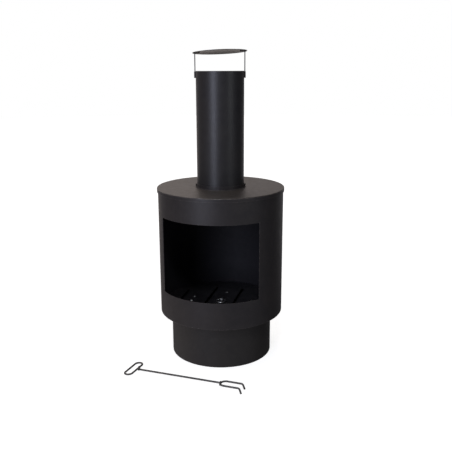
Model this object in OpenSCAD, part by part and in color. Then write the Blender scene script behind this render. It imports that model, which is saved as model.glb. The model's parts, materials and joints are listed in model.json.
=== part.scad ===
// Cylindrical steel patio chiminea: plinth, drum with an open mouth, lift-off lid with a chimney,
// rain cap on two rods, loose fire grate and a two-pronged poker that lies on the ground.
// Millimetres. Origin at the centre of the foot, on the ground. +Z is up and the mouth faces -Y.

/* [Plinth] */
// Outer radius of the plinth
base_r = 205; // [180:0.5:215]
// Height of the plinth, which is where the drum starts
base_h = 178; // [120:1:240]
// Sheet thickness of plinth, drum and chimney
sheet = 2; // [1.5:0.1:3]
// Width of the turned-in hem at the foot
foot_hem_w = 14; // [8:1:30]
// Inner radius of the flat ring at the top of the plinth
top_ring_in_r = 150; // [130:1:160]

/* [Drum] */
// Outer radius of the drum
drum_r = 250; // [243:0.5:250.5]
// Height of the drum
drum_h = 508.5; // [470:0.5:600]
// Thickness of the drum floor and of the plinth's top ring
plate_t = 3; // [2:0.5:4]
// Arc of the mouth, in degrees
mouth_arc = 100; // [60:1:120]
// Height of the mouth's lower edge above the drum's bottom edge
mouth_sill = 107; // [60:1:130]
// Height of the mouth
mouth_h = 303; // [200:1:320]

/* [Lid] */
// Outer radius of the lid
lid_r = 253.5; // [253.5:0.5:275]
// Sheet thickness of the lid
lid_t = 2.5; // [2:0.1:3]
// Drop of the lid's rim, lid thickness included
lid_rim_h = 15; // [10:1:30]
// Number of locating tabs under the lid
lid_tab_count = 4; // [3:1:6]

/* [Chimney] */
// Outer radius of the chimney pipe
pipe_r = 92.9; // [78:0.1:94]
// Height of the chimney's rim above the lid
pipe_h = 447; // [300:1:520]
// Height of the collar that holds the pipe
collar_h = 14; // [12:1:30]
// Turn of the chimney about its own axis, which sets where the cap's rods stand
chimney_turn = 14.6; // [-45:0.1:45]

/* [Rain cap] */
// Outer radius of the rain cap
cap_r = 104; // [102:0.5:125]
// Height of the cap's edge above the chimney's rim
cap_gap = 69; // [40:1:90]
// Rise of the cap's dome
cap_rise = 6; // [3:0.5:12]
// Tilt of the cap, which sheds rain to the back
cap_tilt = 3; // [0:0.5:5]
// Lean of the cap towards its left rod
cap_lean = 2.2; // [0:0.1:3]
// Diameter of the two rods
cap_rod_d = 4; // [3.5:0.1:5]

/* [Fire grate] */
// Radius of the grate plate
grate_r = 240; // [220:1:242]
// Height of the grate's feet
grate_foot_h = 19; // [17:0.5:30]
// Width of the ash slots
slot_w = 12; // [8:0.5:16]
// Distance between neighbouring ash slots
slot_pitch = 114; // [110:1:118]

/* [Poker] */
// Diameter of the round bar
poker_d = 7; // [5:0.5:8]
// Length of the bar between the handle and the fork
poker_bar_l = 357; // [250:1:450]
// Length of the handle loop, measured on the bar's centre line
handle_l = 104; // [80:1:120]
// Width of the handle loop, measured on the bar's centre line
handle_w = 31; // [26:1:40]
// Distance between the two prongs
prong_gap = 36; // [26:1:44]
// Length of the prongs up to their bend
prong_l = 80; // [60:1:100]
// Length of the bent tips
tip_l = 21.6; // [17:0.1:26]
// Angle of the bent tips to the prongs
tip_bend = 71; // [60:1:80]

/* [Hidden] */
$fn = 96;

cut = 10;       // how far a cutting solid runs past the wall it cuts
merge = 1;      // how far two parts of one solid run into each other
wire_fn = 32;   // facets around a thin wire or a small rounded edge
bar_fn = 48;    // facets around the poker's bar
fine_fn = 480;  // facets of a large cylinder that cuts a small part
stove_black = [0.13, 0.13, 0.14];
sheet_grey = [0.24, 0.23, 0.22];
zinc = [0.78, 0.78, 0.76];
bar_grey = [0.30, 0.30, 0.29];

// Levels, from the ground up
floor_top = base_h + plate_t;
drum_top = base_h + drum_h;
lid_top = drum_top + lid_t;
rim_top = lid_top + pipe_h;
grate_low = floor_top + grate_foot_h;
grate_top = grate_low + plate_t;
mouth_low = base_h + mouth_sill;

// Fasteners
m8_hole_r = 4.5;
m8_r = 4;
m8_head_af = 13;
m8_head_h = 5.3;
m8_nut_h = 6.5;
m8_end_l = 3;
m8_play = 0.05;
washer_r = 8;
washer_t = 1.6;
m6_hole_r = 3.3;
m6_r = 2.95;
m6_bore_r = 3;
m6_head_r = 6;
m6_head_h = 3.5;
m6_l = 15;
m6_nut_af = 10;
m6_nut_h = 5;
m6_socket_af = 4;
m6_socket_deep = 2;
screw_r = 2.5;
screw_hole_r = 2.7;
screw_head_r = 4.75;
screw_head_h = 3.5;
screw_l = 10;
screw_socket_af = 4;
screw_socket_deep = 2;
screw_lift = 0.5;

// Plinth bolts, on a circle between the top ring's bore and the plinth's wall
base_bolt_ring_r = (top_ring_in_r + base_r - sheet) / 2;
base_bolt_angles = [45, 135, 225, 315];

// Grate: two channel runners with two bolts each and two round feet with one bolt each
runner_x = 124;
runner_w = 30;
runner_l = 90;
runner_t = 3;
runner_bolt_y = 25;
foot_y = 100;
foot_r = 11;
foot_hole_deep = 14;
runner_bolts = [for (x = [-runner_x, runner_x], y = [-runner_bolt_y, runner_bolt_y]) [x, y]];
foot_bolts = [[0, -foot_y], [0, foot_y]];
inner_slot_l = 330;
outer_slot_l = 200;

// Lifting ring of the grate, which lies flat in front of its eye
ring_r = 20;
ring_wire_r = 2.5;
ring_lift = 0.3;
eye_y = 12;
eye_r = 8;
eye_wire_r = 2;

// Lid and collar
lid_edge_r = 2;
tab_t = 2;
tab_h = 12;
tab_arc = 16;
tab_gap = 3;
tab_first = 45;
collar_t = 2.5;
collar_gap = 0.5;
collar_foot_w = 4;
collar_foot_h = 2.5;
flue_r = pipe_r + collar_gap;
collar_r = flue_r + collar_t;
screw_z = lid_top + collar_foot_h + screw_head_r + screw_lift;

// Cap rods and the straps that hold them against the pipe
rod_r = cap_rod_d / 2;
strap_t = 1.2;
strap_h = 24;
strap_floor = 2;
strap_drop = 2;
strap_w = 26;
rod_play = 0.45;
rod_pipe_gap = 0.35;
rod_cap_gap = 0.7;
channel_mouth = 1.8;            // width of the channel's way out to the pipe, in channel radii
channel_r = rod_r + rod_play;
rod_ring_r = pipe_r + rod_r + rod_pipe_gap;
strap_low = rim_top - strap_drop - strap_h;
rod_low = strap_low + strap_floor;

// Cap dome: an arc of this radius through the edge and the crown, in straight steps
cap_t = 2;
cap_steps = 10;
dome_r = (cap_r * cap_r + cap_rise * cap_rise) / (2 * cap_rise);
cap_edge_z = rim_top + cap_gap;
lug_in_r = 76;
lug_out_r = 100;
lug_w = 14;
lug_t = 2.5;
lug_play = 0.1;
lug_hole_play = 0.3;
function dome_z(r) = sqrt(dome_r * dome_r - r * r) - (dome_r - cap_rise);

// Poker: the handle's far side and the two tips touch the ground, which sets its slope
poker_r = poker_d / 2;
poker_at = [-296, -292];
poker_turn = -8.7;
tip_bend_r = 8;
tip_chamfer = 1;
tip_end_r = poker_r - tip_chamfer;
fork_x = handle_w + poker_bar_l;
corner_x = fork_x + prong_l;
tip_x = corner_x + tip_l * cos(tip_bend);
tip_drop = tip_l * sin(tip_bend);
bend_back = tip_bend_r * tan(tip_bend / 2);
// Two rounds settle the slope, because it also turns the tips' ends
function slope_from(s) = atan((tip_drop - poker_r + tip_end_r * cos(tip_bend - s)) / tip_x);
poker_slope = slope_from(slope_from(0));

// Upright tube between two levels
module tube(outer_r, inner_r, low, high) {
    difference() {
        translate([0, 0, low]) cylinder(r = outer_r, h = high - low);
        translate([0, 0, low - cut]) cylinder(r = inner_r, h = high - low + 2 * cut);
    }
}

// Hexagonal prism of a given width across flats
module hex(across, h) {
    cylinder(d = across / cos(30), h = h, $fn = 6);
}

// Round bar along +X from the origin
module bar_x(r, l) {
    rotate([0, 90, 0]) cylinder(r = r, h = l);
}

module at_base_bolts() {
    for (a = base_bolt_angles) rotate([0, 0, a]) translate([base_bolt_ring_r, 0, 0]) children();
}

module at_points(points) {
    for (p = points) translate([p[0], p[1], 0]) children();
}

module base_tube() {
    color(stove_black) {
        difference() {
            cylinder(r = base_r, h = base_h);
            translate([0, 0, plate_t]) cylinder(r = base_r - sheet, h = base_h);
            translate([0, 0, -cut]) cylinder(r = base_r - sheet - foot_hem_w, h = base_h);
        }
    }
}

module base_top_ring() {
    color(stove_black) difference() {
        tube(base_r - sheet, top_ring_in_r, base_h - plate_t, base_h);
        at_base_bolts() translate([0, 0, base_h - plate_t - cut])
            cylinder(r = m8_hole_r, h = plate_t + 2 * cut);
    }
}

module base_bolts() {
    shank_l = plate_t * 2 + washer_t * 2 + m8_nut_h + m8_end_l;
    color(zinc) at_base_bolts() {
        translate([0, 0, floor_top + washer_t]) hex(m8_head_af, m8_head_h);
        translate([0, 0, floor_top + washer_t - shank_l]) cylinder(r = m8_r, h = shank_l + merge);
    }
}

module base_washers() {
    color(zinc) at_base_bolts() {
        tube(washer_r, m8_hole_r, floor_top, floor_top + washer_t);
        tube(washer_r, m8_hole_r, base_h - plate_t - washer_t, base_h - plate_t);
    }
}

module base_nuts() {
    color(zinc) at_base_bolts() difference() {
        translate([0, 0, base_h - plate_t - washer_t - m8_nut_h]) hex(m8_head_af, m8_nut_h);
        translate([0, 0, base_h - cut * 3]) cylinder(r = m8_r + m8_play, h = cut * 4);
    }
}

module drum_shell() {
    color(stove_black) difference() {
        tube(drum_r, drum_r - sheet, base_h, drum_top);
        rotate([0, 0, -90 - mouth_arc / 2])
            rotate_extrude(angle = mouth_arc)
                translate([drum_r - sheet - cut, mouth_low]) square([sheet + 2 * cut, mouth_h]);
    }
}

module drum_floor() {
    color(stove_black) difference() {
        translate([0, 0, base_h]) cylinder(r = drum_r - sheet, h = plate_t);
        at_base_bolts() translate([0, 0, base_h - cut]) cylinder(r = m8_hole_r, h = plate_t + 2 * cut);
    }
}

// Slot with round ends that runs front to back
module ash_slot(x, l) {
    straight = l - slot_w;
    translate([x, 0, grate_low - cut]) {
        translate([-slot_w / 2, -straight / 2, 0]) cube([slot_w, straight, plate_t + 2 * cut]);
        for (side = [-1, 1])
            translate([0, side * straight / 2, 0]) cylinder(d = slot_w, h = plate_t + 2 * cut);
    }
}

module grate_plate() {
    color(sheet_grey) difference() {
        translate([0, 0, grate_low]) cylinder(r = grate_r, h = plate_t);
        for (side = [-1, 1]) {
            ash_slot(side * slot_pitch / 2, inner_slot_l);
            ash_slot(side * slot_pitch * 1.5, outer_slot_l);
        }
        at_points(concat(runner_bolts, foot_bolts))
            translate([0, 0, grate_low - cut]) cylinder(r = m6_hole_r, h = plate_t + 2 * cut);
    }
}

// Inverted channel that carries one side of the grate
module grate_runner(side) {
    color(sheet_grey) difference() {
        translate([side * runner_x - runner_w / 2, -runner_l / 2, floor_top])
            cube([runner_w, runner_l, grate_foot_h]);
        translate([side * runner_x - runner_w / 2 + runner_t, -runner_l / 2 - cut, floor_top - cut])
            cube([runner_w - 2 * runner_t, runner_l + 2 * cut, grate_foot_h - runner_t + cut]);
        for (y = [-runner_bolt_y, runner_bolt_y])
            translate([side * runner_x, y, floor_top]) cylinder(r = m6_hole_r, h = grate_foot_h + cut);
    }
}

// Turned foot with a blind hole for its bolt
module grate_foot(side) {
    color(sheet_grey) translate([0, side * foot_y, floor_top]) difference() {
        cylinder(r = foot_r, h = grate_foot_h);
        translate([0, 0, grate_foot_h - foot_hole_deep]) cylinder(r = m6_bore_r, h = foot_hole_deep + cut);
    }
}

// Domed bolt with its head on the grate
module grate_bolts() {
    dome = (m6_head_r * m6_head_r + m6_head_h * m6_head_h) / (2 * m6_head_h);
    color(zinc) at_points(concat(runner_bolts, foot_bolts)) {
        difference() {
            intersection() {
                translate([0, 0, grate_top + m6_head_h - dome]) sphere(r = dome);
                translate([0, 0, grate_top]) cylinder(r = m6_head_r + merge, h = m6_head_h + merge);
            }
            translate([0, 0, grate_top + m6_head_h - m6_socket_deep])
                hex(m6_socket_af, m6_socket_deep + merge);
        }
        translate([0, 0, grate_top - m6_l]) cylinder(r = m6_r, h = m6_l + merge);
    }
}

module grate_nuts() {
    color(zinc) at_points(runner_bolts) difference() {
        translate([0, 0, grate_low - runner_t - m6_nut_h]) hex(m6_nut_af, m6_nut_h);
        translate([0, 0, grate_low - 2 * cut]) cylinder(r = m6_bore_r, h = 3 * cut);
    }
}

// Half ring that stands on the grate and holds the lifting ring
module grate_eye() {
    color(zinc) translate([0, eye_y, grate_top]) rotate([90, 0, 90])
        rotate_extrude(angle = 180) translate([eye_r, 0]) circle(r = eye_wire_r, $fn = wire_fn);
}

module grate_ring() {
    color(zinc) translate([0, eye_y - ring_r, grate_top + ring_wire_r + ring_lift])
        rotate_extrude() translate([ring_r, 0]) circle(r = ring_wire_r, $fn = wire_fn);
}

// Flat lid with the flue hole and a rounded upper edge
module lid_plate() {
    color(sheet_grey) translate([0, 0, drum_top]) rotate_extrude() {
        translate([flue_r, 0]) square([lid_r - lid_edge_r - flue_r, lid_t]);
        intersection() {
            translate([lid_r - lid_edge_r, lid_t - lid_edge_r]) circle(r = lid_edge_r, $fn = wire_fn);
            translate([lid_r - lid_edge_r, 0]) square([lid_edge_r + merge, lid_t + merge]);
        }
    }
}

module lid_rim() {
    color(stove_black) tube(lid_r, lid_r - lid_t, lid_top - lid_rim_h, drum_top);
}

// Curved tabs that keep the lid centred in the drum
module lid_tabs() {
    tab_r = drum_r - sheet - tab_gap;
    color(stove_black)
        for (i = [0 : lid_tab_count - 1])
            rotate([0, 0, tab_first + i * 360 / lid_tab_count - tab_arc / 2])
                rotate_extrude(angle = tab_arc)
                    translate([tab_r - tab_t, drum_top - tab_h]) square([tab_t, tab_h]);
}

module at_collar_screw(side) {
    rotate([0, 0, chimney_turn + (side < 0 ? 180 : 0)]) translate([0, 0, screw_z]) children();
}

module flue_collar() {
    color(stove_black) difference() {
        union() {
            tube(collar_r, flue_r, lid_top, lid_top + collar_h);
            tube(collar_r + collar_foot_w, flue_r, lid_top, lid_top + collar_foot_h);
        }
        for (side = [-1, 1])
            at_collar_screw(side) translate([flue_r - cut, 0, 0]) bar_x(screw_hole_r, 2 * cut);
    }
}

// Pan-head screw through collar and pipe
module collar_screw(side) {
    color(zinc) at_collar_screw(side) {
        difference() {
            translate([collar_r, 0, 0]) bar_x(screw_head_r, screw_head_h);
            translate([collar_r + screw_head_h - screw_socket_deep, 0, 0]) rotate([0, 90, 0])
                hex(screw_socket_af, screw_socket_deep + merge);
        }
        translate([collar_r - screw_l, 0, 0]) bar_x(screw_r, screw_l + merge);
    }
}

module chimney_pipe() {
    color(stove_black) difference() {
        tube(pipe_r, pipe_r - sheet, drum_top, rim_top);
        for (side = [-1, 1])
            at_collar_screw(side) translate([pipe_r - cut, 0, 0]) bar_x(screw_hole_r, 2 * cut);
    }
}

// Strap that is bent around one rod and welded to the pipe by its two ears
module cap_socket(side) {
    color(stove_black)
        rotate([0, 0, chimney_turn + (side < 0 ? 180 : 0)]) translate([0, 0, strap_low]) difference() {
            union() {
                translate([rod_ring_r, 0, 0]) cylinder(r = channel_r + strap_t, h = strap_h);
                translate([pipe_r - cut, -strap_w / 2, 0]) cube([cut + strap_t, strap_w, strap_h]);
            }
            translate([0, 0, -cut]) cylinder(r = pipe_r, h = strap_h + 2 * cut, $fn = fine_fn);
            translate([0, 0, strap_floor]) linear_extrude(strap_h) {
                translate([rod_ring_r, 0]) circle(r = channel_r);
                translate([pipe_r - merge, -channel_r * channel_mouth / 2])
                    square([rod_ring_r - pipe_r + merge, channel_r * channel_mouth]);
            }
        }
}

module at_cap() {
    translate([0, 0, cap_edge_z]) rotate([0, 0, chimney_turn])
        rotate([0, -cap_lean, 0]) rotate([-cap_tilt, 0, 0]) children();
}

module cap_disc() {
    radii = [for (i = [0 : cap_steps]) cap_r * i / cap_steps];
    under = [for (r = radii) [r, dome_z(r)]];
    over = [for (i = [cap_steps : -1 : 0]) [radii[i], dome_z(radii[i]) + cap_t]];
    color(sheet_grey) at_cap() rotate_extrude() polygon(concat(under, over));
}

// Flat lug under the cap's edge with a hole for the rod's end
module cap_lug(side) {
    color(stove_black) at_cap() rotate([0, 0, side < 0 ? 180 : 0]) difference() {
        rotate([90, 0, 0]) translate([0, 0, -lug_w / 2]) linear_extrude(lug_w) polygon([
            [lug_in_r, dome_z(lug_in_r) - lug_play], [lug_out_r, dome_z(lug_out_r) - lug_play],
            [lug_out_r, dome_z(lug_out_r) - lug_t], [lug_in_r, dome_z(lug_in_r) - lug_t]
        ]);
        translate([rod_ring_r, 0, -cut]) cylinder(r = rod_r + lug_hole_play, h = 3 * cut);
    }
}

module cap_rod(side) {
    rod_top = cap_edge_z + dome_z(rod_ring_r) - rod_cap_gap + side * rod_ring_r * sin(cap_lean);
    color(bar_grey) rotate([0, 0, chimney_turn + (side < 0 ? 180 : 0)])
        translate([rod_ring_r, 0, rod_low]) cylinder(r = rod_r, h = rod_top - rod_low);
}

module at_poker() {
    translate([poker_at[0], poker_at[1], poker_r]) rotate([0, 0, poker_turn])
        rotate([0, -poker_slope, 0]) children();
}

// Closed loop of round bar with half-round ends
module poker_handle() {
    end_r = handle_w / 2;
    straight = handle_l - handle_w;
    color(bar_grey) at_poker() {
        for (x = [0, handle_w])
            translate([x, -straight / 2, 0]) rotate([-90, 0, 0]) cylinder(r = poker_r, h = straight);
        for (side = [-1, 1])
            translate([end_r, side * straight / 2, 0]) rotate([0, 0, side < 0 ? 180 : 0])
                rotate_extrude(angle = 180) translate([end_r, 0]) circle(r = poker_r, $fn = bar_fn);
    }
}

// Straight bar, coped to the handle and to the fork's crown
module poker_bar() {
    crown_r = prong_gap / 2;
    color(bar_grey) at_poker() difference() {
        translate([handle_w, 0, 0]) bar_x(poker_r, poker_bar_l);
        translate([handle_w, -cut, 0]) rotate([-90, 0, 0]) cylinder(r = poker_r, h = 2 * cut);
        translate([fork_x + crown_r, 0, 0])
            rotate([0, 0, 90]) rotate_extrude(angle = 180)
                translate([crown_r, 0]) circle(r = poker_r, $fn = bar_fn);
    }
}

// One prong from the crown on, drawn flat: along +X, then around a bend towards +Y
module prong() {
    straight = prong_l - prong_gap / 2 - bend_back;
    end_l = tip_l - bend_back - tip_chamfer;
    bar_x(poker_r, straight);
    translate([straight, 0, 0]) translate([0, tip_bend_r, 0]) {
        rotate([0, 0, -90]) rotate_extrude(angle = tip_bend)
            translate([tip_bend_r, 0]) circle(r = poker_r, $fn = bar_fn);
        rotate([0, 0, tip_bend]) translate([0, -tip_bend_r, 0]) {
            bar_x(poker_r, end_l);
            translate([end_l, 0, 0]) rotate([0, 90, 0])
                cylinder(r1 = poker_r, r2 = tip_end_r, h = tip_chamfer);
        }
    }
}

// Crown and two prongs with bent-down tips
module poker_fork() {
    crown_r = prong_gap / 2;
    color(bar_grey) at_poker() translate([fork_x + crown_r, 0, 0]) {
        rotate([0, 0, 90]) rotate_extrude(angle = 180)
            translate([crown_r, 0]) circle(r = poker_r, $fn = bar_fn);
        for (side = [-1, 1]) translate([0, side * crown_r, 0]) rotate([-90, 0, 0]) prong();
    }
}

base_tube();
base_top_ring();
base_bolts();
base_washers();
base_nuts();
drum_shell();
drum_floor();
grate_plate();
grate_runner(-1);  // grate_runner_left
grate_runner(1);  // grate_runner_right
grate_foot(-1);  // grate_foot_front
grate_foot(1);  // grate_foot_back
grate_bolts();
grate_nuts();
grate_eye();
grate_ring();
lid_plate();
lid_rim();
lid_tabs();
flue_collar();
collar_screw(-1);  // collar_screw_left
collar_screw(1);  // collar_screw_right
chimney_pipe();
cap_socket(-1);  // cap_socket_left
cap_socket(1);  // cap_socket_right
cap_disc();
cap_lug(-1);  // cap_lug_left
cap_lug(1);  // cap_lug_right
cap_rod(-1);  // cap_rod_left
cap_rod(1);  // cap_rod_right
poker_handle();
poker_bar();
poker_fork();
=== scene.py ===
import json
import math
import random

import bmesh
import bpy
from mathutils import Matrix, Vector


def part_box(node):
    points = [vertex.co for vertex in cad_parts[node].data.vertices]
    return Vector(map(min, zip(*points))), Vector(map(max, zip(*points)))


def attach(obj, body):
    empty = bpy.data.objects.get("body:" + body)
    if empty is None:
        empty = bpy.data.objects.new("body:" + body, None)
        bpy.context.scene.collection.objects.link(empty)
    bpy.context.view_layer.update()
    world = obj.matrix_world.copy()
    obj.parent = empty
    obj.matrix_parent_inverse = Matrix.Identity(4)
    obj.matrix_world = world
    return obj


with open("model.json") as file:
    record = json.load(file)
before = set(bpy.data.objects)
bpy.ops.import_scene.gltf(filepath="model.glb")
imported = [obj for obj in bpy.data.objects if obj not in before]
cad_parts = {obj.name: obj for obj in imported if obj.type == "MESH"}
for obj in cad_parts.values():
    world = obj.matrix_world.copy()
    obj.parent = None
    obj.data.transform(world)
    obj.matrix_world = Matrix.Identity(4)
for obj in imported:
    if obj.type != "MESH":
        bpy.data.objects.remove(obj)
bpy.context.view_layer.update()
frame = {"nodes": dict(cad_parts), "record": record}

# Every length is in metres, in the row's frame: +Z is up and the mouth faces -Y.
UP = Vector((0, 0, 1))
AZIMUTH = math.radians(14.6)             # the camera stands this far round from the mouth's middle
RIGHT = Vector((math.cos(AZIMUTH), math.sin(AZIMUTH), 0))
AWAY = Vector((-math.sin(AZIMUTH), math.cos(AZIMUTH), 0))


def radius_of(node):
    """Half the width of a round node."""
    low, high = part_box(node)
    return (high.x - low.x) / 2


def bottom(node):
    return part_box(node)[0].z


def top(node):
    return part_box(node)[1].z


def record_opening(name):
    for opening in frame["record"]["physics"]["openings"]:
        if opening["name"] == name:
            return opening["box_m"]
    raise KeyError(name)


# ---------------------------------------------------------------- shader kit

MIX_A, MIX_B, MIX_OUT = 6, 7, 2          # the Mix node's colour sockets
RANGE_SOCKETS = ("From Min", "From Max", "To Min", "To Max")


class Shader:
    """One material with a Principled shader, and short calls that add nodes to it."""

    def __init__(self, name):
        self.material = bpy.data.materials.new(name)
        self.material.use_nodes = True
        self.tree = self.material.node_tree
        self.tree.nodes.clear()
        self.place = self.add("ShaderNodeTexCoord").outputs["Object"]
        self.surface = self.add("ShaderNodeBsdfPrincipled")
        self.end = self.add("ShaderNodeOutputMaterial")
        self.tree.links.new(self.surface.outputs[0], self.end.inputs["Surface"])
        self.height = None

    def add(self, kind, **settings):
        node = self.tree.nodes.new(kind)
        for key, value in settings.items():
            setattr(node, key, value)
        return node

    def put(self, socket, value):
        if isinstance(value, bpy.types.NodeSocket):
            self.tree.links.new(value, socket)
        elif isinstance(value, tuple) and len(value) == 3 and socket.type == "RGBA":
            socket.default_value = (*value, 1.0)
        else:
            socket.default_value = value

    def math(self, operation, a, b=0.0):
        node = self.add("ShaderNodeMath", operation=operation)
        self.put(node.inputs[0], a)
        self.put(node.inputs[1], b)
        return node.outputs[0]

    def mix(self, share, a, b):
        node = self.add("ShaderNodeMix", data_type="RGBA")
        self.put(node.inputs["Factor"], share)
        self.put(node.inputs[MIX_A], a)
        self.put(node.inputs[MIX_B], b)
        return node.outputs[MIX_OUT]

    def noise(self, scale, detail, rough, stretch=(1, 1, 1), shift=(0, 0, 0)):
        """A 0 to 1 noise with about scale patches in a metre; shift gives each use its own pattern."""
        where = self.add("ShaderNodeMapping")
        self.put(where.inputs["Vector"], self.place)
        where.inputs["Scale"].default_value = stretch
        where.inputs["Location"].default_value = shift
        node = self.add("ShaderNodeTexNoise")
        self.put(node.inputs["Vector"], where.outputs[0])
        node.inputs["Scale"].default_value = scale
        node.inputs["Detail"].default_value = detail
        node.inputs["Roughness"].default_value = rough
        return node.outputs["Fac"]

    def step(self, value, low, high):
        """0 below low, 1 above high and a smooth change between; low may be above high."""
        node = self.add("ShaderNodeMapRange", interpolation_type="SMOOTHSTEP")
        self.put(node.inputs["Value"], value)
        limits = (low, high, 0.0, 1.0) if low < high else (high, low, 1.0, 0.0)
        for key, number in zip(RANGE_SOCKETS, limits):
            node.inputs[key].default_value = number
        return node.outputs["Result"]

    def spread(self, value, low, high):
        """A 0 to 1 value drawn out linearly to low to high."""
        node = self.add("ShaderNodeMapRange")
        self.put(node.inputs["Value"], value)
        node.inputs["To Min"].default_value, node.inputs["To Max"].default_value = low, high
        return node.outputs["Result"]

    def axes(self):
        node = self.add("ShaderNodeSeparateXYZ")
        self.put(node.inputs[0], self.place)
        return node.outputs[0], node.outputs[1], node.outputs[2]

    def radius(self):
        """The distance from the object's upright axis."""
        x, y, _ = self.axes()
        squares = self.math("ADD", self.math("MULTIPLY", x, x), self.math("MULTIPLY", y, y))
        return self.math("SQRT", squares)

    def facing_up(self):
        node = self.add("ShaderNodeSeparateXYZ")
        self.put(node.inputs[0], self.add("ShaderNodeTexCoord").outputs["Normal"])
        return node.outputs[2]

    def near(self, value, target, reach):
        """1 where a value is at its target, falling to 0 at this reach."""
        away = self.math("ABSOLUTE", self.math("SUBTRACT", value, target))
        return self.step(away, reach, 0.0)

    def either(self, masks):
        whole = masks[0]
        for mask in masks[1:]:
            whole = self.math("MAXIMUM", whole, mask)
        return whole

    def bump(self, height, distance):
        """Stacks one more bump on those before."""
        node = self.add("ShaderNodeBump")
        node.inputs["Strength"].default_value = 1.0
        node.inputs["Distance"].default_value = distance
        self.put(node.inputs["Height"], height)
        if self.height is not None:
            self.put(node.inputs["Normal"], self.height)
        self.height = node.outputs[0]

    def finish(self, colour, rough, metallic=0.0):
        self.put(self.surface.inputs["Base Color"], colour)
        self.put(self.surface.inputs["Roughness"], rough)
        self.put(self.surface.inputs["Metallic"], metallic)
        if self.height is not None:
            self.put(self.surface.inputs["Normal"], self.height)
        return self.material


SOOT, WARM_SOOT = (0.0080, 0.0074, 0.0112), (0.0105, 0.0095, 0.0128)
BARE_STEEL = (0.16, 0.145, 0.135)
RUST = (0.105, 0.047, 0.022)
DUST = (0.105, 0.088, 0.074)
THIN_SPOTS = 1.5                # how much lighter the paint is where it went on thin
THIN_SHARE = 0.35               # how far such a spot changes the colour at most
SPECK_SHARE = 0.35              # and a speck of dust
WORN_SHARES = (0.12, 0.85)      # least and most bare steel along an edge that rubs
DRIFT_SHARES = (0.45, 1.0)      # thinnest and thickest dust, as shares of a material's own
PAINT_GLOSS_SPREAD = 0.09       # how far roughness wanders on paint
STEEL_GLOSS_SPREAD = 0.12       # and on steel
DUST_DULLS, WEAR_POLISHES, SOOT_DULLS = 0.22, 0.12, 0.25
SHEET_WAVES, SPRAY_GRAIN, FINE_GRAIN = 0.0006, 0.00006, 0.00002     # heights of bumps
BRUSH_LINES, STEEL_PITS, SCALE_EDGES = 0.00006, 0.00004, 0.00008


def paint(name, dark, light, rough, edges=None, soot=None, dust=0.0):
    """Satin heat-resistant paint sprayed on sheet steel. edges(shader) gives a mask of the edges
    that rub bare, soot(shader) a mask of the sides that the fire blackens, and dust is how much
    grey-brown dust lies on what faces up."""
    s = Shader(name)
    mottle = s.noise(7.0, 3.0, 0.6)
    cloud = s.noise(34.0, 5.0, 0.62, shift=(3.1, 1.7, 0.4))
    grain = s.noise(900.0, 2.0, 0.5)
    colour = s.mix(s.step(mottle, 0.36, 0.66), dark, light)
    thin = tuple(THIN_SPOTS * channel for channel in light)
    colour = s.mix(s.spread(s.step(cloud, 0.35, 0.75), 0.0, THIN_SHARE), colour, thin)
    sheen = s.noise(55.0, 4.0, 0.6, shift=(0.2, 5.0, 2.0))
    gloss = s.math("ADD", s.spread(sheen, -PAINT_GLOSS_SPREAD, PAINT_GLOSS_SPREAD), rough)
    specks = s.step(s.noise(420.0, 3.0, 0.7, shift=(7, 2, 9)), 0.70, 0.76)
    colour = s.mix(s.math("MULTIPLY", specks, SPECK_SHARE), colour, DUST)
    if dust:
        patches = s.step(s.noise(13.0, 6.0, 0.68, shift=(1.5, 0, 0)), 0.28, 0.72)
        drift = s.math("MULTIPLY", s.step(s.facing_up(), 0.55, 0.95), s.spread(patches, *DRIFT_SHARES))
        drift = s.math("MULTIPLY", drift, dust)
        colour = s.mix(drift, colour, DUST)
        gloss = s.math("ADD", gloss, s.math("MULTIPLY", drift, DUST_DULLS))
    if edges:
        chips = s.step(s.noise(240.0, 5.0, 0.72, shift=(4, 4, 1)), 0.50, 0.60)
        worn = s.math("MULTIPLY", edges(s), s.spread(chips, *WORN_SHARES))
        colour = s.mix(worn, colour, BARE_STEEL)
        gloss = s.math("SUBTRACT", gloss, s.math("MULTIPLY", worn, WEAR_POLISHES))
    if soot:
        black = soot(s)
        sooty = s.mix(s.step(s.noise(26.0, 6.0, 0.7), 0.4, 0.7), SOOT, WARM_SOOT)
        colour = s.mix(black, colour, sooty)
        gloss = s.math("ADD", gloss, s.math("MULTIPLY", black, SOOT_DULLS))
    s.bump(s.noise(5.0, 1.0, 0.4, stretch=(1, 1, 0.45)), SHEET_WAVES)
    s.bump(grain, SPRAY_GRAIN)
    s.bump(s.noise(2600.0, 1.0, 0.5), FINE_GRAIN)
    return s.finish(colour, gloss)


def steel(name, dark, light, rough, scale, metallic, rust=0.0, brushed=None):
    """Bare, blackened or plated steel: patches with about scale of them in a metre, fine pits and a
    little rust. brushed stretches fine lines along the piece."""
    s = Shader(name)
    scales = s.noise(scale, 6.0, 0.66)
    colour = s.mix(s.step(scales, 0.36, 0.68), dark, light)
    if rust:
        spots = s.step(s.noise(scale * 2.3, 5.0, 0.7, shift=(9, 3, 1)), 0.60, 0.72)
        colour = s.mix(s.math("MULTIPLY", spots, rust), colour, RUST)
    sheen = s.noise(scale * 1.7, 4.0, 0.6, shift=(2, 8, 5))
    gloss = s.math("ADD", s.spread(sheen, -STEEL_GLOSS_SPREAD, STEEL_GLOSS_SPREAD), rough)
    if brushed:
        s.bump(s.noise(300.0, 2.0, 0.6, stretch=brushed), BRUSH_LINES)
    s.bump(s.noise(1500.0, 3.0, 0.6), STEEL_PITS)
    s.bump(scales, SCALE_EDGES)
    return s.finish(colour, gloss, metallic)


# ---------------------------------------------------------------- materials

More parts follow.
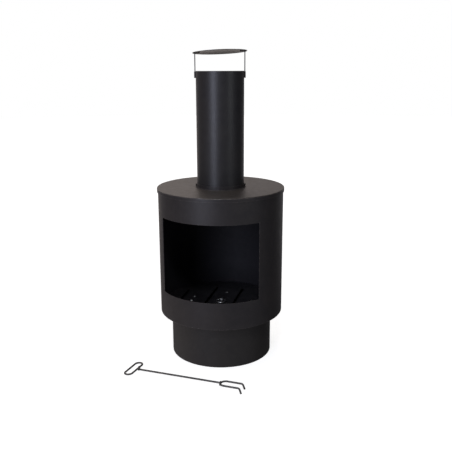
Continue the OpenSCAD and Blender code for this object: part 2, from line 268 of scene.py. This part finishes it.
DARK_PAINT, LIGHT_PAINT = (0.0160, 0.0142, 0.0160), (0.022, 0.0190, 0.0195)
INNER_DARK, INNER_LIGHT = (0.010, 0.0095, 0.010), (0.016, 0.0145, 0.0145)
drum_r = radius_of("drum_shell")
plinth_r = radius_of("base_tube")
pipe_r = radius_of("chimney_pipe")
pipe_rim = top("chimney_pipe")
SHEET = 0.002                            # thickness of the round walls
MOUTH_HALF = math.radians(50)            # the mouth reaches this far round on both sides of -Y
OPENING_INSET = 0.005                    # the record's mouth box stays this far inside the real edges
mouth_box = record_opening("mouth")
mouth_edges = (mouth_box[0][2] - OPENING_INSET, mouth_box[1][2] + OPENING_INSET)
CUT_EDGE = 0.0011                        # how far wear reaches in from the mouth's edge
LOWER_END = 0.0022                       # and up from the shell's lower end
SKIN = 0.0006                            # depth over which the outer paint gives way to soot


def drum_edges(s):
    """The cut edges of the mouth and the lower end of the shell."""
    x, y, z = s.axes()
    low, high = mouth_edges
    half_arc = MOUTH_HALF * drum_r
    turn = s.math("ARCTAN2", x, s.math("MULTIPLY", y, -1.0))
    round_way = s.math("MULTIPLY", s.math("ABSOLUTE", turn), drum_r)
    upright = s.math("MULTIPLY", s.near(round_way, half_arc, CUT_EDGE),
                     s.math("MULTIPLY", s.step(z, low - CUT_EDGE, low), s.step(z, high + CUT_EDGE, high)))
    level = s.math("MULTIPLY", s.step(round_way, half_arc + CUT_EDGE, half_arc),
                   s.either([s.near(z, edge, CUT_EDGE) for edge in mouth_edges]))
    return s.either([upright, level, s.near(z, bottom("drum_shell"), LOWER_END)])


def inside_of(node):
    """A mask of the inner side of a round wall."""
    limit = radius_of(node) - SHEET / 2
    return lambda s: s.step(s.radius(), limit, limit - SKIN)


def worn_at_height(level, reach):
    return lambda s: s.near(s.axes()[2], level, reach)


def worn_at_radius(node, reach):
    return lambda s: s.near(s.radius(), radius_of(node), reach)


def rim_edges(s):
    """The rim's lower edge and the bend at its top."""
    masks = (worn_at_height(bottom("lid_rim"), 0.0018), worn_at_height(top("lid_rim"), 0.0015))
    return s.either([mask(s) for mask in masks])


MATERIALS = {
    "drum_shell": paint("drum_paint", DARK_PAINT, LIGHT_PAINT, rough=0.47,
                        edges=drum_edges, soot=inside_of("drum_shell")),
    "base_tube": paint("plinth_paint", (0.017, 0.0155, 0.016), (0.022, 0.020, 0.019), rough=0.52,
                       edges=worn_at_height(0.0, 0.004), soot=inside_of("base_tube")),
    "lid_rim": paint("rim_paint", DARK_PAINT, LIGHT_PAINT, rough=0.45, edges=rim_edges),
    "lid_plate": paint("lid_paint", (0.019, 0.017, 0.0165), (0.026, 0.0225, 0.0205), rough=0.42,
                       edges=worn_at_radius("lid_plate", 0.0022), dust=0.32),
    "flue_collar": paint("collar_paint", DARK_PAINT, LIGHT_PAINT, rough=0.45,
                         edges=worn_at_radius("flue_collar", 0.0012), dust=0.2),
    "chimney_pipe": paint("pipe_paint", (0.0145, 0.0140, 0.0165), (0.019, 0.018, 0.019), rough=0.40,
                          edges=worn_at_height(pipe_rim, 0.0025), soot=inside_of("chimney_pipe")),
    "cap_socket_left": paint("strap_paint", DARK_PAINT, LIGHT_PAINT, rough=0.45,
                             edges=worn_at_height(top("cap_socket_left"), 0.0015)),
    # painted light: the rain cap's black paint is about twice as light as the rest, to stand in for the
    # reflection and light on its underside
    "cap_disc": paint("cap_paint", (0.034, 0.030, 0.026), (0.045, 0.040, 0.036), rough=0.32, dust=0.25),
    "cap_lug_left": paint("lug_paint", DARK_PAINT, LIGHT_PAINT, rough=0.5),
    "drum_floor": paint("inner_paint", INNER_DARK, INNER_LIGHT, rough=0.6, dust=0.12),
    "grate_plate": steel("grate_steel", (0.024, 0.0225, 0.025), (0.046, 0.043, 0.047), rough=0.40,
                         scale=38.0, metallic=0.35, rust=0.06),
    "grate_bolts": steel("zinc", (0.62, 0.62, 0.61), (0.90, 0.90, 0.88), rough=0.34,
                         scale=260.0, metallic=1.0),
    "collar_screw_left": steel("screw_black", (0.018, 0.018, 0.018), (0.05, 0.048, 0.046), rough=0.38,
                               scale=300.0, metallic=0.6),
    "cap_rod_left": steel("rod_steel", (0.075, 0.072, 0.070), (0.15, 0.145, 0.14), rough=0.36,
                          scale=120.0, metallic=0.9, rust=0.08, brushed=(1, 1, 0.05)),
    "poker_bar": steel("poker_steel", (0.085, 0.084, 0.080), (0.165, 0.162, 0.152), rough=0.46,
                       scale=90.0, metallic=0.6, rust=0.08),
}
SAME = {
    "base_top_ring": "drum_floor", "lid_tabs": "drum_floor",
    "cap_socket_right": "cap_socket_left", "cap_lug_right": "cap_lug_left",
    "grate_runner_left": "grate_plate", "grate_runner_right": "grate_plate",
    "grate_foot_front": "grate_plate", "grate_foot_back": "grate_plate",
    "grate_nuts": "grate_bolts", "grate_eye": "grate_bolts", "grate_ring": "grate_bolts",
    "base_bolts": "grate_bolts", "base_washers": "grate_bolts", "base_nuts": "grate_bolts",
    "collar_screw_right": "collar_screw_left", "cap_rod_right": "cap_rod_left",
    "poker_handle": "poker_bar", "poker_fork": "poker_bar",
}
for name, obj in frame["nodes"].items():
    for held in obj.material_slots:
        held.material = MATERIALS[SAME.get(name, name)]

# ---------------------------------------------------------------- weld beads


def mesh_object(name, build):
    """A new object whose mesh build(bm) fills."""
    bm = bmesh.new()
    build(bm)
    data = bpy.data.meshes.new(name)
    bm.to_mesh(data)
    bm.free()
    obj = bpy.data.objects.new(name, data)
    bpy.context.collection.objects.link(obj)
    return obj


RIPPLE = 0.0021         # length of one ripple of a bead
STEPS = 4               # rings of vertices in one ripple
SIDES = 9               # vertices over the bead's back
FEWEST_RINGS = 8        # rings of vertices in the shortest bead
AHEAD = 1e-4            # distance over which a bead's direction is measured
UNEVEN = (0.82, 1.12)   # least and most height of a ripple, as shares of the bead's
FALL, NARROWING = 0.30, 0.14        # how far a ripple sinks and narrows towards its end
EVEN_WIDTH, UNEVEN_WIDTH = 0.9, 0.1  # shares of the width that stay and that follow the ripple's height
END_HEIGHT = 0.25                   # height at an open end, as a share of the bead's
END_RIPPLES = 1.5                   # how many ripples it takes to rise by the bead's whole height
ROOT_WIDTH, ROOT_DEPTH = 0.6, 0.35  # the bead's underside, as shares of half its width and its height

# Width and height of each kind of bead
WALL_SEAM, PIPE_SEAM, STRAP_SEAM = (0.0050, 0.0008), (0.0040, 0.0006), (0.0036, 0.0011)
PLATE_STITCH, TAB_STITCH = (0.0055, 0.0016), (0.0040, 0.0014)
ROD_RING, POKER_RING = (0.0026, 0.0012), (0.0034, 0.0006)


def bead(name, length, along, size, body, material, seed, closed=False):
    """A weld bead of overlapping ripples. along(s) gives (point, out) at s metres from its start:
    where the seam runs and which way the bead stands up."""
    width, height = size
    rng = random.Random(seed)
    rings = max(FEWEST_RINGS, round(length / RIPPLE * STEPS))
    jitter = [rng.uniform(*UNEVEN) for _ in range(rings // STEPS + 2)]

    def build(bm):
        loops = []
        for i in range(rings if closed else rings + 1):
            s = length * i / rings
            point, out = along(s)
            ahead = along(min(s + AHEAD, length))[0] - along(max(s - AHEAD, 0.0))[0]
            across = ahead.cross(out).normalized()
            share = (i % STEPS) / STEPS
            grow = jitter[i // STEPS] * (1.0 - FALL * share)
            wide = width / 2 * (1.0 - NARROWING * share) * (
                EVEN_WIDTH + UNEVEN_WIDTH * jitter[i // STEPS])
            if not closed:
                taper = min(1.0, END_HEIGHT + min(i, rings - i) / (END_RIPPLES * STEPS))
                grow, wide = grow * taper, wide * (1.0 + taper) / 2
            loop = []
            for k in range(SIDES):
                turn = math.pi * k / (SIDES - 1)
                loop.append(bm.verts.new(point + across * (wide * math.cos(turn))
                                         + out * (height * grow * math.sin(turn))))
            for way in (-1, 1):
                loop.append(bm.verts.new(point + across * (way * wide * ROOT_WIDTH)
                                         - out * (ROOT_DEPTH * height)))
            loops.append(loop)
        pairs = list(zip(loops, loops[1:])) + ([(loops[-1], loops[0])] if closed else [])
        count = len(loops[0])
        for one, two in pairs:
            for k in range(count):
                bm.faces.new((one[k], one[(k + 1) % count], two[(k + 1) % count], two[k]))
        if not closed:
            bm.faces.new(loops[0])
            bm.faces.new(reversed(loops[-1]))
        bmesh.ops.recalc_face_normals(bm, faces=bm.faces)
        for face in bm.faces:
            face.smooth = True

    obj = mesh_object(name, build)
    obj.data.materials.append(material)
    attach(obj, body)


def round_the_axis(radius, degrees):
    turn = math.radians(degrees)
    return Vector((math.cos(turn) * radius, math.sin(turn) * radius, 0))


def upright_bead(name, radius, degrees, low, high, size, body, seed):
    """A seam up the outside of a round wall about the object's axis."""
    out = round_the_axis(1.0, degrees)
    bead(name, high - low, lambda s: (out * radius + UP * (low + s), out),
         size, body, WELD_PAINT, seed)


def stitches(name, count, radius, z, span, rise, size, body, seed):
    """Evenly spaced stitches of weld in the inner corner between a round wall and a plate, each this
    many degrees long. rise is 1 where the plate lies under them and -1 where it lies over them."""
    length = math.radians(span) * radius
    pitch = 360 / count
    for i in range(count):
        def along(s):
            turn = pitch * (i + 0.5) + span * (s / length - 0.5)
            inwards = (round_the_axis(-1, turn) + UP * rise).normalized()
            return round_the_axis(radius, turn) + UP * z, inwards

        bead(f"{name}_{i}", length, along, size, body, WELD_INNER, seed + i)


def ring_bead(name, centre, axis, radius, lean, size, body, material, seed):
    """A weld all round the end of a rod; lean tips the bead along the axis."""
    axis = axis.normalized()
    u = axis.orthogonal().normalized()
    v = axis.cross(u)
    length = 2 * math.pi * radius

    def along(s):
        turn = s / radius
        out = u * math.cos(turn) + v * math.sin(turn)
        return centre + out * radius, (out + axis * lean).normalized()

    bead(name, length, along, size, body, material, seed, closed=True)


WELD_PAINT = paint("weld_paint", DARK_PAINT, LIGHT_PAINT, rough=0.46)
WELD_INNER = paint("weld_inner_paint", INNER_DARK, INNER_LIGHT, rough=0.6)
WELD_STEEL = steel("weld_steel", (0.028, 0.027, 0.027), (0.070, 0.066, 0.062), rough=0.42,
                   scale=400.0, metallic=0.6, rust=0.12)
BACK = 90                       # degrees round the axis at which the walls' seams run
SEAM_END, SHORT_END = 0.002, 0.001      # how far a seam stops short of its wall's ends
LUG_LEAN, EYE_LEAN, POKER_LEAN = 0.8, 0.9, 0.5      # how far the rings of weld tip along their rods
upright_bead("drum_seam", drum_r, BACK, bottom("drum_shell") + SEAM_END, bottom("lid_rim") - SEAM_END,
             WALL_SEAM, "stove", 11)
upright_bead("plinth_seam", plinth_r, BACK, SHORT_END, bottom("drum_shell") - SEAM_END,
             WALL_SEAM, "stove", 12)
upright_bead("pipe_seam", pipe_r, BACK, top("flue_collar") + SHORT_END, pipe_rim - SHORT_END,
             PIPE_SEAM, "top", 13)
stitches("plinth_ring_weld", 8, plinth_r - SHEET, bottom("base_top_ring"), 9, -1,
         PLATE_STITCH, "stove", 20)
stitches("drum_floor_weld", 12, drum_r - SHEET, top("drum_floor"), 6, 1,
         PLATE_STITCH, "stove", 40)

HALF_STRAP = 0.0135             # from a strap's middle to its welded edge
STRAP_LIFT = 0.0003             # the strap's seam lies this far off the pipe
LUG_BITE = 0.0007               # the rod's weld starts this far up the lug
for side, turn in (("left", 180), ("right", 0)):
    low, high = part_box(f"cap_socket_{side}")
    rod_low, rod_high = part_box(f"cap_rod_{side}")
    rod = (rod_low + rod_high) / 2
    rod_r = (rod_high.x - rod_low.x) / 2
    azimuth = math.degrees(math.atan2(rod.y, rod.x))
    half_strap = math.degrees(HALF_STRAP / pipe_r)
    for way, name in zip((-1, 1), ("front", "back") if turn == 0 else ("back", "front")):
        upright_bead(f"strap_weld_{side}_{name}", pipe_r + STRAP_LIFT, azimuth + way * half_strap,
                     low.z + SHORT_END, high.z - SHORT_END, STRAP_SEAM, "top", 60 + turn + way)
    ring_bead(f"rod_weld_{side}", Vector((rod.x, rod.y, bottom(f"cap_lug_{side}") + LUG_BITE)), -UP, rod_r,
              LUG_LEAN, ROD_RING, "rain_cap", WELD_STEEL, 70 + turn)

TAB_GAP, TAB_SHEET = 0.003, 0.002       # from the drum's wall to a tab, and the tab's thickness
stitches("tab_weld", 4, drum_r - SHEET - TAB_GAP - TAB_SHEET, top("drum_shell"), 8, -1,
         TAB_STITCH, "top", 80)

eye_low, eye_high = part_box("grate_eye")
eye_wire = (eye_high.x - eye_low.x) / 2
for y, name in ((eye_low.y + eye_wire, "front"), (eye_high.y - eye_wire, "back")):
    ring_bead(f"eye_weld_{name}", Vector(((eye_low.x + eye_high.x) / 2, y, eye_low.z)), UP, eye_wire,
              EYE_LEAN, ROD_RING, "grate", MATERIALS["grate_bolts"], 90 + round(y * 1000))

# The poker's bar is welded to the handle at one end and to the fork at the other.
CROWN_BITE = 0.0015             # the fork's weld starts this far before the bar's end
points = [v.co.copy() for v in frame["nodes"]["poker_bar"].data.vertices]
heading = max(points, key=lambda p: p.x) - min(points, key=lambda p: p.x)
heading.normalize()
bar_middle = sum(points, Vector()) / len(points)
lengthwise = [(p - bar_middle).dot(heading) for p in points]
bar_r = max((p - bar_middle - heading * s).length for p, s in zip(points, lengthwise))
for name, s, way in (("handle", min(lengthwise) + bar_r, -1), ("fork", max(lengthwise) - CROWN_BITE, 1)):
    ring_bead(f"poker_weld_{name}", bar_middle + heading * s, heading * way, bar_r, POKER_LEAN,
              POKER_RING, "poker", MATERIALS["poker_bar"], 95 + way)

# ---------------------------------------------------------------- floor, backdrop, light

STAGE_RADIUS = 14.0
GLOW_FADE = (0.9, 2.4)          # the floor's glow grows between these distances from the object


def stage_material(name, grey, glow_near, glow_far):
    """White that glows: less near the object, so that soft shadows still show there."""
    s = Shader(name)
    s.tree.nodes.remove(s.surface)
    both, shine, matt = (s.add(kind) for kind in (
        "ShaderNodeAddShader", "ShaderNodeEmission", "ShaderNodeBsdfDiffuse"))
    shine.inputs["Color"].default_value = (1.0, 1.0, 1.0, 1.0)
    fade = s.add("ShaderNodeMapRange", interpolation_type="SMOOTHSTEP")
    s.put(fade.inputs["Value"], s.radius())
    for key, value in zip(RANGE_SOCKETS, (*GLOW_FADE, glow_near, glow_far)):
        fade.inputs[key].default_value = value
    s.put(shine.inputs["Strength"], fade.outputs["Result"])
    matt.inputs["Color"].default_value = (grey, grey, grey, 1.0)
    s.put(both.inputs[0], shine.outputs[0])
    s.put(both.inputs[1], matt.outputs[0])
    s.put(s.end.inputs["Surface"], both.outputs[0])
    return s.material


def camera_only(obj):
    """The white floor and backdrop don't mirror in the black paint or light it."""
    obj.visible_diffuse = obj.visible_glossy = obj.visible_transmission = obj.visible_shadow = False


floor = mesh_object("floor", lambda bm: bmesh.ops.create_circle(
    bm, cap_ends=True, segments=96, radius=STAGE_RADIUS))
floor.data.materials.append(stage_material("floor_white", grey=0.55, glow_near=0.83, glow_far=1.0))
backdrop = mesh_object("backdrop", lambda bm: bmesh.ops.create_icosphere(
    bm, subdivisions=4, radius=STAGE_RADIUS))
backdrop.data.materials.append(stage_material("backdrop_white", grey=0.0, glow_near=1.0, glow_far=1.0))
for obj in (floor, backdrop):
    camera_only(obj)


def area(name, azimuth, height, distance, size, power, colour, aim=0.7):
    """A soft box that points at the object's axis at the height aim. Azimuth counts from the
    camera's side of the object, positive to the right."""
    turn = math.radians(azimuth)
    place = (RIGHT * math.sin(turn) - AWAY * math.cos(turn)) * distance + UP * height
    light = bpy.data.lights.new(name, "AREA")
    light.shape = "RECTANGLE"
    light.size, light.size_y = size
    light.energy = power
    light.color = colour
    obj = bpy.data.objects.new(name, light)
    obj.location = place
    obj.rotation_mode = "QUATERNION"
    obj.rotation_quaternion = (UP * aim - place).to_track_quat("-Z", "Y")
    bpy.context.collection.objects.link(obj)


area("window_left", azimuth=-31, height=1.25, distance=3.2, size=(1.25, 2.1), power=40,
     colour=(0.77, 0.81, 1.0))
area("lamp_high", azimuth=0, height=2.5, distance=2.2, size=(0.30, 0.30), power=13,
     colour=(0.90, 0.93, 1.0), aim=0.3)
area("window_right", azimuth=50, height=1.3, distance=3.4, size=(0.9, 1.6), power=7,
     colour=(0.92, 0.98, 1.0))
area("ceiling", azimuth=0, height=3.4, distance=0.4, size=(2.4, 2.4), power=22,
     colour=(1.0, 0.95, 0.92))

world = bpy.data.worlds.new("studio")
bpy.context.scene.world = world
world.use_nodes = True
nodes, links = world.node_tree.nodes, world.node_tree.links
nodes.clear()


def world_node(kind, **settings):
    node = nodes.new(kind)
    for key, value in settings.items():
        setattr(node, key, value)
    return node


def world_math(operation, a, b=0.0):
    node = world_node("ShaderNodeMath", operation=operation)
    for socket, value in zip(node.inputs, (a, b)):
        if isinstance(value, bpy.types.NodeSocket):
            links.new(value, socket)
        else:
            socket.default_value = value
    return node.outputs[0]


def world_step(value, low, high, start, end):
    """start below low and end above high, or the other way round where low is above high."""
    if low > high:
        low, high, start, end = high, low, end, start
    node = world_node("ShaderNodeMapRange", interpolation_type="SMOOTHSTEP")
    links.new(value, node.inputs["Value"])
    for key, number in zip(RANGE_SOCKETS, (low, high, start, end)):
        node.inputs[key].default_value = number
    return node.outputs["Result"]


def world_dot(direction):
    node = world_node("ShaderNodeVectorMath", operation="DOT_PRODUCT")
    links.new(sky, node.inputs[0])
    node.inputs[1].default_value = direction
    return node.outputs["Value"]


# The room that the black paint mirrors: a pale warm wall behind, a grey floor in front, dim sides.
# raised is 1 overhead, 0 at the horizon and -1 straight down.
ROOM = 0.05                                 # the brightness that every direction has
WALL_HIGH, WALL_LOW, WALL_FOOT = 0.68, 0.30, 0.08
GROUND_BEHIND = 0.45                        # what the rain cap's underside mirrors
SIDE_HIGH, SIDE_LOW, SIDE_GROUND = 0.15, 0.06, 0.48
FRONT_GROUND = 0.26
NEUTRAL, WARM = (0.98, 0.95, 1.0, 1.0), (1.0, 0.88, 0.82, 1.0)
sky = world_node("ShaderNodeTexCoord").outputs["Generated"]
raised = world_dot(UP)
turn = world_math("ARCTAN2", world_dot(RIGHT), world_dot(AWAY))      # 0 behind, negative to the left
behind = world_math("MULTIPLY", world_step(turn, -1.0, -0.35, 0.0, 1.0),
                    world_step(turn, 0.50, -0.18, 0.0, 1.0))
warm_wall = world_math("MULTIPLY", behind,
                       world_math("ADD", world_step(raised, 0.0, 0.28, 0.0, WALL_HIGH),
                                  world_step(raised, -0.30, -0.02, WALL_FOOT, WALL_LOW)))
low_behind = world_math("MULTIPLY", world_step(world_math("ABSOLUTE", turn), 0.4, 1.2, 1.0, 0.0),
                        world_math("MULTIPLY", world_step(raised, -0.02, -0.07, 0.0, GROUND_BEHIND),
                                   world_step(raised, -0.34, -0.24, 0.0, 1.0)))
side_level = world_math("ADD", world_step(raised, -0.12, -0.02, SIDE_LOW, SIDE_HIGH),
                        world_step(raised, -0.28, -0.45, 0.0, SIDE_GROUND))
left_side = world_math("MULTIPLY", world_step(turn, -0.5, -1.0, 0.0, 1.0),
                       world_math("MULTIPLY", world_step(turn, -2.4, -1.7, 0.0, 1.0), side_level))
front_floor = world_math("MULTIPLY", world_step(world_dot(-AWAY), -0.3, 0.7, 0.0, 1.0),
                         world_step(raised, 0.05, -0.35, 0.0, FRONT_GROUND))
level = world_math("ADD", world_math("ADD", world_math("ADD", warm_wall, low_behind), left_side),
                   world_math("ADD", front_floor, ROOM))
warmth = world_math("MAXIMUM", behind, world_step(turn, -0.5, -1.2, 0.0, 0.8))
tint = world_node("ShaderNodeMix", data_type="RGBA")
links.new(warmth, tint.inputs["Factor"])
tint.inputs[MIX_A].default_value = NEUTRAL
tint.inputs[MIX_B].default_value = WARM
shade = world_node("ShaderNodeBackground")
links.new(tint.outputs[MIX_OUT], shade.inputs["Color"])
links.new(level, shade.inputs["Strength"])
end = world_node("ShaderNodeOutputWorld")
links.new(shade.outputs[0], end.inputs["Surface"])

# ---------------------------------------------------------------- camera

CAMERA_DISTANCE, CAMERA_HEIGHT = 2.4242, 1.1358
LENS, SENSOR = 49.0, 36.0                # in millimetres
NEAREST, FURTHEST = 0.05, 60.0           # limits of what the camera sees
PITCH, YAW, ROLL = math.radians(14.15), math.radians(0.492), math.radians(-0.239)
forward = (RIGHT * math.sin(YAW) + AWAY * math.cos(YAW)) * math.cos(PITCH) - UP * math.sin(PITCH)
side = RIGHT * math.cos(YAW) - AWAY * math.sin(YAW)
above = side.cross(forward)
camera_right = side * math.cos(ROLL) + above * math.sin(ROLL)
camera_up = above * math.cos(ROLL) - side * math.sin(ROLL)
camera = bpy.data.objects.new("camera", bpy.data.cameras.new("camera"))
camera.data.lens = LENS
camera.data.sensor_width = SENSOR
camera.data.clip_start, camera.data.clip_end = NEAREST, FURTHEST
camera.matrix_world = Matrix.Translation(-AWAY * CAMERA_DISTANCE + UP * CAMERA_HEIGHT) @ Matrix(
    (camera_right, camera_up, -forward)).transposed().to_4x4()
bpy.context.collection.objects.link(camera)
bpy.context.scene.camera = camera
bpy.context.scene.view_settings.view_transform = "Standard"
